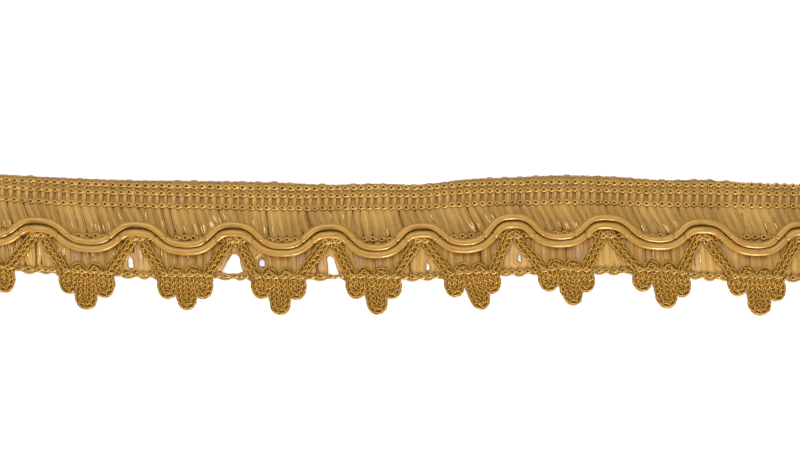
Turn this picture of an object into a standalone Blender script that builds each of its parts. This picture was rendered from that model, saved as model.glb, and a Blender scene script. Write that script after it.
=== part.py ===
"""A length of gold gimp braid trim, laid flat with its face up.

A warp-knitted band carries a pair of parallel wavy gimp cords and one long open knitted cord, the chainette,
which climbs to a crest under each wave and hangs below the band in groups of three loops.

X runs along the trim, Y across it towards the heading, and Z up, with the underside at Z = 0.
The tables are in millimetres and become metres where they are read. Every mesh is in metres.
"""

import math
from collections import namedtuple

import bmesh
import bpy
from mathutils import Vector

MM = 0.001

# Band: a thin knitted ground with a low rib along each stitch row.
BAND_THICKNESS = 0.9 * MM
SELVEDGE_THICKNESS = 0.5 * MM
HEADING_RIB = 0.4 * MM
HOLDING_RIB = 0.2 * MM
RIB_HALF_WIDTH = 0.75 * MM
FIRST_ROW = 4.95 * MM
SECOND_ROW = 3.35 * MM
CORD_ROW = -8.8 * MM
BELOW_LOWEST_ROW = 1.1 * MM
STITCHES_PER_WAVE = 12
TURN_OUT = 0.22 * MM
TURN_IN = 0.08 * MM

# Wavy cords: stiff wrapped cords side by side on the band.
CORD_DIAMETER = 1.75 * MM
CORD_SPACING = 2.05 * MM
CORD_SIDES_RESOLUTION = 2
CORD_STEPS_PER_WAVE = 10
WAVE_SQUARENESS = 1.25

# Chainette: a flattened open knitted cord, drawn in where the stitches hold it.
CHAINETTE_WIDTH = 1.95 * MM
CHAINETTE_HELD_WIDTH = 1.6 * MM
CHAINETTE_HEIGHT = 1.4 * MM
CHAINETTE_SIDES = 6
STRAND_PITCH = 2.27 * MM
WAIST_SHARE = 0.7
TURN_RISE = 0.25 * MM
TURN_CORNERS = 4
LOOP_CORNERS = 6
SIDE_LOOP_WIDTH = 4.5 * MM
CREST_RADIUS = 1.45 * MM
CREST_CORNERS = 4

# Heights: what lies on the band clears its ribs, and the loops come down to the surface beyond its edge.
GAP = 0.3 * MM
ON_BAND = BAND_THICKNESS + HOLDING_RIB + GAP + CORD_DIAMETER / 2
DROP_START = 0.9 * MM
DROP_END = 3.9 * MM

# How the trim lies, with one line for each crest and each dip of the cords' wave:
#   x        along the trim
#   row      the third stitch row, across the trim
#   heading  from that row up to the heading's edge
#   cords    from that row down to the upper cord
#   lowest   from that row down to the lowest stitch row
Place = namedtuple("Place", "x row heading cords lowest")
PLACES = [
    Place(-127.9, 8.8, 6.4, 5.2, 18.3),
    Place(-114.8, 8.5, 6.4, 9.9, 18.2),
    Place(-102.0, 7.7, 6.5, 5.1, 18.2),
    Place(-88.1, 7.0, 6.6, 10.1, 18.2),
    Place(-75.6, 6.7, 6.5, 5.2, 18.5),
    Place(-62.5, 6.4, 6.7, 10.3, 18.4),
    Place(-49.7, 6.1, 6.8, 4.7, 18.3),
    Place(-36.8, 5.9, 6.7, 10.2, 18.4),
    Place(-24.0, 5.9, 6.1, 5.0, 18.2),
    Place(-11.7, 6.1, 6.2, 10.8, 18.4),
    Place(0.3, 6.1, 6.0, 5.0, 18.5),
    Place(12.4, 7.0, 6.5, 10.3, 18.2),
    Place(24.6, 7.3, 6.7, 3.7, 18.5),
    Place(37.4, 7.6, 6.9, 9.4, 17.8),
    Place(49.7, 7.4, 6.9, 4.0, 18.2),
    Place(63.8, 7.0, 6.3, 9.5, 17.5),
    Place(75.3, 6.9, 6.4, 4.7, 19.0),
    Place(90.0, 6.7, 5.7, 10.8, 19.0),
    Place(101.9, 6.4, 5.6, 4.8, 19.2),
    Place(114.8, 6.1, 5.9, 10.3, 18.8),
    Place(127.9, 6.0, 6.3, 5.1, 18.6),
]

# The chainette's three loops under each dip, from left to right:
#   foot                 the middle of their six strands on the lowest stitch row, along the trim
#   first, middle, last  the outer tip of each loop, as its place from the foot and its depth below that row
#   width                the middle loop's outer width
Loops = namedtuple("Loops", "foot first first_depth middle middle_depth last last_depth width")
LOOPS = [
    Loops(-115.7, -5.0, 6.1, 0.3, 9.8, 5.1, 6.7, 5.6),
    Loops(-89.0, -5.2, 6.0, -0.3, 10.0, 5.0, 6.6, 6.1),
    Loops(-62.8, -5.0, 6.4, 0.6, 9.3, 5.2, 6.3, 5.2),
    Loops(-37.9, -4.7, 5.9, 0.7, 10.1, 5.3, 6.1, 5.6),
    Loops(-12.6, -4.7, 6.0, 1.4, 10.1, 5.6, 5.9, 5.7),
    Loops(13.6, -4.5, 6.4, 2.2, 9.9, 6.1, 5.7, 5.3),
    Loops(38.5, -4.1, 6.0, 2.3, 9.7, 6.4, 6.0, 5.2),
    Loops(64.1, -4.9, 5.9, 1.7, 10.1, 6.4, 6.5, 5.6),
    Loops(89.5, -4.8, 5.3, 1.3, 10.4, 6.3, 6.4, 6.4),
    Loops(114.9, -4.8, 6.1, 1.1, 10.0, 5.7, 6.2, 5.7),
]

# Where the band's wefts have parted and the surface shows through, as tapered slots with rounded corners:
#   x, top, bottom      the slot's middle along the trim, and its two ends across it
#   top_width, width    its widths at the upper and the lower end
#   corner              how far its corners are rounded off
Slot = namedtuple("Slot", "x top bottom top_width width corner")
SLOTS = [
    Slot(-50.1, -6.2, -10.5, 1.4, 5.4, 0.6),
    Slot(-23.4, -6.7, -11.4, 1.8, 3.0, 0.8),
]


def srgb(code):
    """A colour code of six hex digits as linear red, green, blue and full opacity."""
    channels = [int(code[i : i + 2], 16) / 255 for i in (0, 2, 4)]
    linear = [c / 12.92 if c <= 0.04045 else ((c + 0.055) / 1.055) ** 2.4 for c in channels]
    return (*linear, 1.0)


def material(name, code, roughness, sheen):
    made = bpy.data.materials.new(name)
    made.use_nodes = True
    shader = made.node_tree.nodes["Principled BSDF"]
    shader.inputs["Base Color"].default_value = srgb(code)
    shader.inputs["Roughness"].default_value = roughness
    shader.inputs["Metallic"].default_value = 0.0
    shader.inputs["Sheen Weight"].default_value = sheen
    return made


def along(column, x):
    """A column of PLACES at x, in metres: a smooth curve through the table's values."""
    stops = [place.x * MM for place in PLACES]
    values = [getattr(place, column) * MM for place in PLACES]
    i = max(0, min(len(stops) - 2, sum(stop <= x for stop in stops) - 1))
    slopes = []
    for k in (i, i + 1):
        before, after = max(k - 1, 0), min(k + 1, len(stops) - 1)
        slopes.append((values[after] - values[before]) / (stops[after] - stops[before]))
    span = stops[i + 1] - stops[i]
    t = (x - stops[i]) / span
    rise = values[i + 1] - values[i]
    ease = t * t * (3 - 2 * t)
    return values[i] + rise * ease + span * t * (1 - t) * (slopes[0] * (1 - t) - slopes[1] * t)


def row_y(x):
    return along("row", x)


def lowest_y(x):
    return row_y(x) - along("lowest", x)


def wave_share(t):
    """How far the cords have gone from one crest or dip to the next, t being 0 to 1: a squared-off cosine."""
    flat = math.tanh(WAVE_SQUARENESS * math.cos(math.pi * t))
    return 0.5 - 0.5 * flat / math.tanh(WAVE_SQUARENESS)


def upper_cord(x):
    """The upper cord's middle at x."""
    for here, after in zip(PLACES, PLACES[1:]):
        if x <= after.x * MM or after is PLACES[-1]:
            t = (x / MM - here.x) / (after.x - here.x)
            drop = here.cords + (after.cords - here.cords) * wave_share(t)
            return Vector((x, row_y(x) - drop * MM))
    raise ValueError("x lies off the trim")


def lower_cord(x):
    """The lower cord's middle beside the upper one's at x, square to it at the cords' spacing."""
    step = 0.2 * MM
    run = upper_cord(min(x + step, LENGTH_END)) - upper_cord(max(x - step, LENGTH_START))
    run.normalize()
    return upper_cord(x) + CORD_SPACING * Vector((run.y, -run.x))


LENGTH_START = PLACES[0].x * MM
LENGTH_END = PLACES[-1].x * MM
CRESTS = PLACES[0::2]


def steps_along(steps_per_wave):
    """Places along the trim, a whole number of even steps from each crest to the next."""
    found = []
    for here, after in zip(CRESTS, CRESTS[1:]):
        found += [(here.x + (after.x - here.x) * k / steps_per_wave) * MM for k in range(steps_per_wave)]
    return found + [LENGTH_END]


def band_section(x, stitch):
    """The band's upper surface at x as (y, z), from the heading's edge to the lower edge."""
    row = row_y(x)
    lowest = lowest_y(x)
    turn = TURN_OUT if stitch % 2 else -TURN_IN
    heading_top = BAND_THICKNESS + HEADING_RIB
    holding_top = BAND_THICKNESS + HOLDING_RIB
    section = [(row + along("heading", x) + turn, SELVEDGE_THICKNESS)]
    section.append((row + FIRST_ROW + RIB_HALF_WIDTH, BAND_THICKNESS))
    section.append((row + FIRST_ROW, heading_top))
    section.append((row + (FIRST_ROW + SECOND_ROW) / 2, BAND_THICKNESS))
    section.append((row + SECOND_ROW, heading_top))
    section.append((row + SECOND_ROW - RIB_HALF_WIDTH, BAND_THICKNESS))
    for rib, top in ((row, heading_top), (row + CORD_ROW, holding_top), (lowest, holding_top)):
        section.append((rib + RIB_HALF_WIDTH, BAND_THICKNESS))
        section.append((rib, top))
        section.append((rib - RIB_HALF_WIDTH, BAND_THICKNESS))
    section.append((lowest - BELOW_LOWEST_ROW - turn / 2, SELVEDGE_THICKNESS))
    return section


def slot_cutter(slot):
    """A tapered prism through the band, with its upright edges rounded."""
    mesh = bpy.data.meshes.new("slot_cutter")
    shape = bmesh.new()
    corners = [
        (slot.x - slot.top_width / 2, slot.top),
        (slot.x - slot.width / 2, slot.bottom),
        (slot.x + slot.width / 2, slot.bottom),
        (slot.x + slot.top_width / 2, slot.top),
    ]
    reach = 3 * BAND_THICKNESS
    base = shape.faces.new([shape.verts.new((x * MM, y * MM, -reach)) for x, y in corners])
    raised = bmesh.ops.extrude_face_region(shape, geom=[base])["geom"]
    lifted = [v for v in raised if isinstance(v, bmesh.types.BMVert)]
    bmesh.ops.translate(shape, verts=lifted, vec=(0, 0, 2 * reach))
    upright = [e for e in shape.edges if abs(e.verts[0].co.z - e.verts[1].co.z) > reach]
    bmesh.ops.bevel(shape, geom=upright, offset=slot.corner * MM, segments=2, profile=0.5, affect="EDGES")
    bmesh.ops.recalc_face_normals(shape, faces=shape.faces)
    shape.to_mesh(mesh)
    shape.free()
    return mesh


def make_band(parent):
    """The knitted ground: one sheet with ribs, uneven edges and two parted places."""
    shape = bmesh.new()
    tops, floors = [], []
    for stitch, x in enumerate(steps_along(STITCHES_PER_WAVE)):
        section = band_section(x, stitch)
        tops.append([shape.verts.new((x, y, z)) for y, z in section])
        floors.append([shape.verts.new((x, y, 0)) for y in (section[0][0], section[-1][0])])
    for k in range(len(tops) - 1):
        here, after = tops[k], tops[k + 1]
        for j in range(len(here) - 1):
            shape.faces.new((here[j], here[j + 1], after[j + 1], after[j]))
        shape.faces.new((floors[k][0], here[0], after[0], floors[k + 1][0]))
        shape.faces.new((here[-1], floors[k][1], floors[k + 1][1], after[-1]))
        shape.faces.new((floors[k][1], floors[k][0], floors[k + 1][0], floors[k + 1][1]))
    for k in (0, -1):
        shape.faces.new([floors[k][0], *tops[k], floors[k][1]])
    bmesh.ops.recalc_face_normals(shape, faces=shape.faces)
    mesh = bpy.data.meshes.new("band")
    shape.to_mesh(mesh)
    shape.free()
    band = place("band", mesh, parent, material("rayon_ground", "B88C4C", 0.55, 0.3))
    for number, slot in enumerate(SLOTS, start=1):
        cutter = place(f"slot_cutter_{number}", slot_cutter(slot), parent, None)
        cutter.hide_render = True
        cutter.display_type = "WIRE"
        cut = band.modifiers.new(f"slot_{number}", "BOOLEAN")
        cut.operation = "DIFFERENCE"
        cut.solver = "EXACT"
        cut.object = cutter
    return band


def make_cord(name, middle_at, parent):
    """One wavy cord: a round tube along middle_at, resting just above the band."""
    curve = bpy.data.curves.new(name, "CURVE")
    curve.dimensions = "3D"
    curve.bevel_depth = CORD_DIAMETER / 2
    curve.bevel_resolution = CORD_SIDES_RESOLUTION
    curve.use_fill_caps = True
    stops = [middle_at(x) for x in steps_along(CORD_STEPS_PER_WAVE)]
    spline = curve.splines.new("POLY")
    spline.points.add(len(stops) - 1)
    for point, stop in zip(spline.points, stops):
        point.co = (stop.x, stop.y, 0, 1)
    cord = place(name, curve, parent, material(f"satin_gimp_{name}", "C4984F", 0.35, 0.2))
    cord.location.z = ON_BAND
    return cord


def turn_points(middle, radius, start, end, corners):
    """Points round a circle's arc, its angles in degrees from +X."""
    angles = [math.radians(start + (end - start) * k / (corners - 1)) for k in range(corners)]
    return [middle + radius * Vector((math.cos(a), math.sin(a))) for a in angles]


def loop_points(left, right, tip, depth, width):
    """One hanging loop: down its left strand from the lowest row, side by side, round its tip and up its right one."""
    feet = Vector(((left + right) / 2, 0))
    bottom = Vector((tip, CHAINETTE_WIDTH / 2 - depth))
    axis = (bottom - feet).normalized()
    radius = (width - CHAINETTE_WIDTH) / 2
    middle = bottom - radius * axis
    waist = feet.lerp(middle, WAIST_SHARE)
    aside = STRAND_PITCH / 2 * Vector((-axis.y, axis.x))
    lean = math.degrees(math.atan2(axis.y, axis.x)) + 90
    arc = turn_points(middle, radius, 180 + lean, 360 + lean, LOOP_CORNERS)
    return [Vector((left, 0)), waist - aside, *arc, waist + aside, Vector((right, 0))]


def group_points(loops):
    """The chainette's middle line through one group of loops, from the row's left strand to its right one."""
    strands = [(k - 2.5) * STRAND_PITCH for k in range(6)]
    tips = [
        (loops.first * MM, loops.first_depth * MM, SIDE_LOOP_WIDTH),
        (loops.middle * MM, loops.middle_depth * MM, loops.width * MM),
        (loops.last * MM, loops.last_depth * MM, SIDE_LOOP_WIDTH),
    ]
    found = []
    for k, (tip, depth, width) in enumerate(tips):
        left, right = strands[2 * k], strands[2 * k + 1]
        found += loop_points(left, right, tip, depth, width)
        if k < 2:
            turn = Vector((right + STRAND_PITCH / 2, TURN_RISE))
            found += turn_points(turn, STRAND_PITCH / 2, 180, 0, TURN_CORNERS)
    return [(loops.foot * MM + p.x, lowest_y(loops.foot * MM + p.x) + p.y) for p in found]


def crest_points(crest, start, end):
    """The small bend close under the lower cord's crest, between two angles in degrees."""
    top = lower_cord(crest.x * MM)
    drop = CORD_DIAMETER / 2 + GAP + CHAINETTE_HELD_WIDTH / 2 + CREST_RADIUS
    middle = Vector((top.x, top.y - drop))
    return [tuple(p) for p in turn_points(middle, CREST_RADIUS, start, end, CREST_CORNERS)]


def chainette_line():
    """The whole chainette's middle line: crest, slope, three loops, slope, crest, along the trim."""
    line = crest_points(CRESTS[0], 60, 0)
    for loops, crest in zip(LOOPS, CRESTS[1:]):
        group = group_points(loops)
        line += [halfway(line[-1], group[0]), *group]
        crest_turn = crest_points(crest, 180, 120 if crest is CRESTS[-1] else 0)
        line += [halfway(group[-1], crest_turn[0]), *crest_turn]
    return line


def halfway(a, b):
    return ((a[0] + b[0]) / 2, (a[1] + b[1]) / 2)


def chainette_height(below):
    """The chainette's middle above the surface, where it lies this far below the lowest stitch row."""
    resting = CHAINETTE_HEIGHT / 2
    t = min(1, max(0, (below - DROP_START) / (DROP_END - DROP_START)))
    return ON_BAND + (resting - ON_BAND) * t * t * (3 - 2 * t)


def make_chainette(parent):
    """The chainette: a flattened tube of even height, narrower where it crosses the lowest row and at the crests."""
    line = chainette_line()
    shape = bmesh.new()
    rings = []
    lift = 1 / math.sin(math.pi / 3)
    for k, (x, y) in enumerate(line):
        before, after = Vector(line[max(k - 1, 0)]), Vector(line[min(k + 1, len(line) - 1)])
        run = (after - before).normalized()
        below = lowest_y(x) - y
        share = min(1, max(0, below / DROP_START))
        half = (CHAINETTE_HELD_WIDTH + (CHAINETTE_WIDTH - CHAINETTE_HELD_WIDTH) * share) / 2
        height = chainette_height(below)
        ring = []
        for side in range(CHAINETTE_SIDES):
            angle = 2 * math.pi * side / CHAINETTE_SIDES
            out = half * math.cos(angle)
            up = CHAINETTE_HEIGHT / 2 * lift * math.sin(angle)
            ring.append(shape.verts.new((x + run.y * out, y - run.x * out, height + up)))
        rings.append(ring)
    for here, after in zip(rings, rings[1:]):
        for j in range(CHAINETTE_SIDES):
            following = (j + 1) % CHAINETTE_SIDES
            shape.faces.new((here[j], here[following], after[following], after[j]))
    shape.faces.new(rings[0])
    shape.faces.new(rings[-1])
    bmesh.ops.recalc_face_normals(shape, faces=shape.faces)
    mesh = bpy.data.meshes.new("chainette")
    shape.to_mesh(mesh)
    shape.free()
    return place("chainette", mesh, parent, material("rayon_chainette", "A67A38", 0.5, 0.3))


def place(name, data, parent, finish):
    made = bpy.data.objects.new(name, data)
    made.parent = parent
    bpy.context.scene.collection.objects.link(made)
    if finish:
        data.materials.append(finish)
    return made


def main():
    for old in list(bpy.data.objects):
        bpy.data.objects.remove(old, do_unlink=True)
    trim = bpy.data.objects.new("trim", None)
    bpy.context.scene.collection.objects.link(trim)
    make_band(trim)
    make_cord("cord_upper", upper_cord, trim)
    make_cord("cord_lower", lower_cord, trim)
    make_chainette(trim)


main()
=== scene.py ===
"""The looks of a gold gimp braid trim, laid flat with its face up on a white table.

X runs along the trim, Y across it towards the heading, Z up. Tables and yarn sizes are in millimetres; a
mesh gets its points in metres. Every yarn is a profile carried along a path, for all the yarns of a piece
at once.
"""

from collections import namedtuple

import bpy
import numpy as np
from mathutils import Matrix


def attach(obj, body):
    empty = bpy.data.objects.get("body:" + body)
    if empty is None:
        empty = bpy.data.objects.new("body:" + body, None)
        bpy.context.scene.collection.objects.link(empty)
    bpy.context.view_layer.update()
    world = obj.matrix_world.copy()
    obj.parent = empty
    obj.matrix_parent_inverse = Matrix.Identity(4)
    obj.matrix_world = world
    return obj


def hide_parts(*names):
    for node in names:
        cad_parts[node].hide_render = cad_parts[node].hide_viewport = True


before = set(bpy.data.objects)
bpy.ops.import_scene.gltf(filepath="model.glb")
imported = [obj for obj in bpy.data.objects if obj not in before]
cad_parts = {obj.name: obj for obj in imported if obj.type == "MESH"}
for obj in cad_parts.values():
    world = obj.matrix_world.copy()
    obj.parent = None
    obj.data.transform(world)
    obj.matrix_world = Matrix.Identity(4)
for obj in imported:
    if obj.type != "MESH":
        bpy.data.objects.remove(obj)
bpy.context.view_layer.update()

MM = 0.001
STITCHES = 12
WAVES = 10

# How the trim lies, as in the part's source: a line for each crest and each dip of the cords' wave.
#   x        along the trim
#   row      the third stitch row, across the trim
#   heading  from that row up to the heading's edge
#   cords    from that row down to the upper cord
#   lowest   from that row down to the lowest stitch row
Place = namedtuple("Place", "x row heading cords lowest")
PLACES = [
    Place(-127.9, 8.8, 6.4, 5.2, 18.3),
    Place(-114.8, 8.5, 6.4, 9.9, 18.2),
    Place(-102.0, 7.7, 6.5, 5.1, 18.2),
    Place(-88.1, 7.0, 6.6, 10.1, 18.2),
    Place(-75.6, 6.7, 6.5, 5.2, 18.5),
    Place(-62.5, 6.4, 6.7, 10.3, 18.4),
    Place(-49.7, 6.1, 6.8, 4.7, 18.3),
    Place(-36.8, 5.9, 6.7, 10.2, 18.4),
    Place(-24.0, 5.9, 6.1, 5.0, 18.2),
    Place(-11.7, 6.1, 6.2, 10.8, 18.4),
    Place(0.3, 6.1, 6.0, 5.0, 18.5),
    Place(12.4, 7.0, 6.5, 10.3, 18.2),
    Place(24.6, 7.3, 6.7, 3.7, 18.5),
    Place(37.4, 7.6, 6.9, 9.4, 17.8),
    Place(49.7, 7.4, 6.9, 4.0, 18.2),
    Place(63.8, 7.0, 6.3, 9.5, 17.5),
    Place(75.3, 6.9, 6.4, 4.7, 19.0),
    Place(90.0, 6.7, 5.7, 10.8, 19.0),
    Place(101.9, 6.4, 5.6, 4.8, 19.2),
    Place(114.8, 6.1, 5.9, 10.3, 18.8),
    Place(127.9, 6.0, 6.3, 5.1, 18.6),
]

# The chainette's three loops under each dip, as in the part's source, but with four middle loops that
# lean a little further to the right, as the real ones do:
#   foot                 the middle of their six strands on the lowest stitch row, along the trim
#   first, middle, last  each loop's outer tip, as its place from the foot and its depth below that row
#   width                the middle loop's outer width
Loops = namedtuple("Loops", "foot first first_depth middle middle_depth last last_depth width")
LOOPS = [
    Loops(-115.7, -5.0, 6.1, 0.3, 9.8, 5.1, 6.7, 5.6),
    Loops(-89.0, -5.2, 6.0, -0.3, 10.0, 5.0, 6.6, 6.1),
    Loops(-62.8, -5.0, 6.4, 0.6, 9.3, 5.2, 6.3, 5.2),
    Loops(-37.9, -4.7, 5.9, 0.7, 10.1, 5.3, 6.1, 5.6),
    Loops(-12.6, -4.7, 6.0, 1.4, 10.1, 5.6, 5.9, 5.7),
    Loops(13.6, -4.5, 6.4, 3.0, 9.9, 6.1, 5.7, 5.3),
    Loops(38.5, -4.1, 6.0, 2.8, 9.7, 6.4, 6.0, 5.2),
    Loops(64.1, -4.9, 5.9, 2.2, 10.1, 6.4, 6.5, 5.6),
    Loops(89.5, -4.8, 5.3, 1.6, 10.4, 6.3, 6.4, 6.4),
    Loops(114.9, -4.8, 6.1, 1.1, 10.0, 5.7, 6.2, 5.7),
]

# Places where the wefts have parted sideways:
#   x, lean        its middle along the trim, and how far its lower end lies to the right of its upper one
#   top, bottom    its ends across the trim
#   wide_top, wide how wide it opens near its upper and its lower end
#   through        whether the table shows through it
Parting = namedtuple("Parting", "x lean top bottom wide_top wide through")
PARTINGS = [
    Parting(-49.7, -2.5, -6.0, -12.1, 0.5, 7.2, True),
    Parting(-23.5, 1.5, -6.3, -12.4, 1.9, 3.2, True),
    Parting(-21.8, 0.2, -11.9, -13.8, 0.6, 0.9, True),
    Parting(-77.4, -0.1, -6.9, -10.3, 1.6, 1.6, True),
    Parting(-42.8, -0.2, -6.8, -10.2, 2.0, 2.0, True),
    Parting(26.5, 0.1, -5.5, -9.3, 1.4, 1.5, True),
    Parting(2.0, 0.1, -8.3, -11.0, 0.8, 0.9, True),
    Parting(91.8, 2.2, 4.6, -1.4, 0.5, 1.3, False),
    Parting(87.3, 1.2, 4.8, -1.5, 0.2, 0.6, False),
    Parting(-101.5, 0.2, -4.5, -9.4, 0.3, 0.9, False),
    Parting(-58.9, 0.3, -7.2, -10.6, 0.3, 0.8, False),
    Parting(-35.6, 0.2, -8.2, -11.0, 0.2, 0.7, False),
    Parting(-30.4, 0.2, -7.6, -11.0, 0.2, 1.2, False),
    Parting(73.6, -0.3, -6.0, -10.4, 0.5, 1.0, False),
    Parting(78.9, 0.4, -7.0, -10.8, 0.3, 0.9, False),
    Parting(51.9, 0.4, -6.4, -9.6, 0.4, 0.7, False),
    Parting(62.8, 0.0, -6.0, -8.2, 0.3, 0.6, False),
]

# Places where the wefts between the third row and the cords stand proud and catch the light: the middle
# along the trim, the reach to both sides and the rise.
RAISED = [(14.0, 4.0, 0.22), (-56.5, 3.0, 0.25), (-84.0, 2.5, 0.15), (64.0, 3.0, 0.15), (38.0, 3.0, 0.12)]
RAISED_X, RAISED_REACH, RAISED_RISE = np.array(RAISED).T

# Rows of chain stitch, as distances from the third row in millimetres: two above it in the heading, and
# below it the one that catches the cords. The lower edge lies a little below the lowest row, which is
# broken at one place.
FIRST_ROW = 5.3
SECOND_ROW = 3.35
CORD_ROW_AT_CREST = 9.0
CORD_ROW_AT_DIP = 8.5
BELOW_LOWEST_ROW = 0.9
BROKEN_ROW_X = -22.1

# The wefts and the stitches: the top of the backs above the table, a tow's half height where it is held,
# the height of its middle there, the stitches' half width, and the height that a stitch starts from.
BACK_TOP = 0.3
TOW_HEIGHT = 0.2
TOW_LOW = 0.42
STITCH_YARN = 0.285
STITCH_BASE = 0.76

# The wefts' spans between the rows, from the heading's edge to the lower edge:
#   steps    how many steps a yarn takes along it
#   full     a bundle's half width where it is fullest
#   power    how square its swelling is
#   lift     how far it rises
#   uneven   how much its width differs from bundle to bundle
#   beside   how far apart its tows lie, as a share of the half width
#    painted_light   painted light: how much paler it is where it is fullest
Span = namedtuple("Span", "steps full power lift uneven beside fading")
SPANS = [
    Span(2, 1.0, 2, 0.12, 0.05, 0.5, 0.3),
    Span(3, 1.15, 2, 0.16, 0.05, 0.5, 0.3),
    Span(4, 0.72, 4, 0.12, 0.08, 0.4, 0.95),
    Span(13, 1.26, 3, 0.32, 0.13, 0.55, 0.1),
    Span(12, 1.26, 3, 0.38, 0.12, 0.55, 0.6),
    Span(3, 0.7, 2, 0.1, 0.05, 0.5, 0.1),
]
# Spans by their places there: above the third row, from it to the cords' row, and from there to the lowest.
CLOSE_SPAN = 2
FLOAT_SPAN = 3
LOW_SPAN = 4

# A bundle's half width on the heading's edge, on each row and on the lower edge.
HELD = np.array([0.75, 0.8, 0.7, 0.66, 0.58, 0.58, 0.5])

# How far the wefts slant, in stitches: from the heading to the cords' row, and to the lowest row.
SLANT_TO_CORDS = 1.5
SLANT_TO_LOWEST = 1.9

# A bundle's three tows: their half width as a share of the bundle's, how far the outer ones sink, and how
# far a bundle bows and a tow wanders sideways.
TOW_SHARE = 0.63
OUTER_SINKS = 0.11
BUNDLE_BOWS = 0.22
TOW_WANDERS = 0.035

# Their tones: the darkest bundle's, the spread of the others above it, what each of the three tows adds to
# that, which is painted light on the middle tow and painted shade on the outer ones, most on the right,
# and the spread of each tow's own.
BUNDLE_TONE = 0.24
BUNDLE_TONE_SPREAD = 0.6
TOW_PAINTED_SHADING = np.array([-0.15, 0.15, -0.3])
TOW_TONE_SPREAD = 0.15

# The cords: their radius, the distance between their middles, the share by which that grows at a crest
# and shrinks at a dip, their middle's height, how square their waves are, how far and how wide a binding
# draws them in, and the steps of their lines.
CORD_RADIUS = 0.95
CORD_SPACING = 2.08
CREST_GAP = 0.07
CORD_MIDDLE = 1.8
WAVE_SQUARENESS = 1.25
BINDING_PINCH = 0.26
BINDING_REACH = 0.3
CORD_STEPS = 1500

# The chainette's tube: its half width on the band, in the loops, round their tips and where a row catches
# it, its half height, and its middle's height on the band and on the table.
CHAINETTE_HALF_WIDTH = 1.33
CHAINETTE_LOOP_HALF_WIDTH = 1.28
CHAINETTE_BENT_HALF_WIDTH = 1.27
CHAINETTE_HELD_HALF_WIDTH = 1.08
CHAINETTE_HALF_HEIGHT = 0.58
CHAINETTE_ON_BAND = 1.6
CHAINETTE_ON_TABLE = 0.95

# Its knit: the stitches round the tube, the tube's length for one round of them and the yarn's half
# width, both also for the slack loops below the lowest row.
CHAINETTE_WALES = 6
COURSE_LENGTH = 1.75
LOOSE_COURSE_LENGTH = 1.35
KNIT_YARN = 0.195
LOOSE_KNIT_YARN = 0.165

# Its route: the six strands' pitch on the lowest row, where along a loop its waist is and its half width
# there, what a loop's turn leaves of its width, the least radius of that turn, the rise of the turns
# between the loops, the side loops' width and how far their tips move towards the middle one, the bend's
# radius under a crest and how far its middle lies below the cords' row, where below the lowest row the
# loops start and end their way down to the table, and the steps of its line.
STRAND_PITCH = 2.27
WAIST_SHARE = 0.74
WAIST_HALF_WIDTH = 1.45
TURNED_HALF_WIDTH = 1.5
LEAST_TURN = 1.1
TURN_RISE = 0.25
SIDE_LOOP_WIDTH = 5.0
SIDE_LOOP_SHIFT = 0.3
CREST_RADIUS = 1.35
CREST_DROP = 0.25
DROP_START = 0.9
DROP_END = 3.9
LINE_STEP = 0.1

# How fast the streaks change along a yarn, how far apart a tone of 0 and of 1 lie in them, so that no two
# yarns share a streak, and the tone from which a yarn takes on its thin colour. Real filaments are 0.02
# mm thick, far finer than a pixel, so each streak stands for a bunch of them.
STREAKS_PER_MM = 0.35
TONE_APART = 57.0
THIN_TONE = 1.6

STOPS = np.array([place.x for place in PLACES])
START, END = STOPS[0], STOPS[-1]
CRESTS = STOPS[0::2]
FEET = np.array([loops.foot for loops in LOOPS])
STRANDS = (np.arange(6) - 2.5) * STRAND_PITCH
random = np.random.default_rng(17)


def between_stops(x):
    """The stop before x, and x's share of the way from there to the next one."""
    i = np.clip(np.searchsorted(STOPS, x, side="right") - 1, 0, len(STOPS) - 2)
    return i, (x - STOPS[i]) / (STOPS[i + 1] - STOPS[i])


def along(column, x):
    """A column of PLACES at x: cubic curves, each stop's slope taken from the stops on both sides."""
    values = np.array([getattr(place, column) for place in PLACES])
    before = np.maximum(np.arange(len(STOPS)) - 1, 0)
    after = np.minimum(np.arange(len(STOPS)) + 1, len(STOPS) - 1)
    slopes = (values[after] - values[before]) / (STOPS[after] - STOPS[before])
    i, t = between_stops(x)
    span = STOPS[i + 1] - STOPS[i]
    rise = (values[i + 1] - values[i]) * t * t * (3 - 2 * t)
    return values[i] + rise + span * t * (1 - t) * (slopes[i] * (1 - t) - slopes[i + 1] * t)


def row_y(x):
    """The third stitch row, across the trim."""
    return along("row", x)


def lowest_y(x):
    """The lowest stitch row, across the trim."""
    return row_y(x) - along("lowest", x)


def cords_row_y(x):
    """The row that catches the cords: it sags a little at each crest."""
    drops = [CORD_ROW_AT_CREST, CORD_ROW_AT_DIP] * WAVES + [CORD_ROW_AT_CREST]
    return row_y(x) - np.interp(x, STOPS, drops)


def upper_cord_y(x):
    """The upper cord's middle: from crest to dip a squared-off cosine, tanh(k cos(pi t)) / tanh(k)."""
    drops = np.array([place.cords for place in PLACES])
    i, t = between_stops(x)
    share = 0.5 - 0.5 * np.tanh(WAVE_SQUARENESS * np.cos(np.pi * t)) / np.tanh(WAVE_SQUARENESS)
    return row_y(x) - drops[i] - (drops[i + 1] - drops[i]) * share


def cord_line(offset):
    """Points of a line beside the upper cord: its own points moved by an offset along the normal, times
    1 + g cos, which is at its most on the crests and at its least in the dips."""
    x = np.linspace(START, END, CORD_STEPS)
    y = upper_cord_y(x)
    slope = np.gradient(y, x)
    length = np.hypot(1, slope)
    crested = np.cos(np.pi * np.interp(x, STOPS, np.arange(len(STOPS))))
    apart = offset * (1 + CREST_GAP * crested)
    return np.stack([x + apart * slope / length, y - apart / length], axis=-1)


def heading_x(stitch):
    """Where a stitch of the three heading rows lies along the trim: even steps from crest to crest."""
    return np.interp(stitch, STITCHES * np.arange(WAVES + 1), CRESTS)


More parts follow.
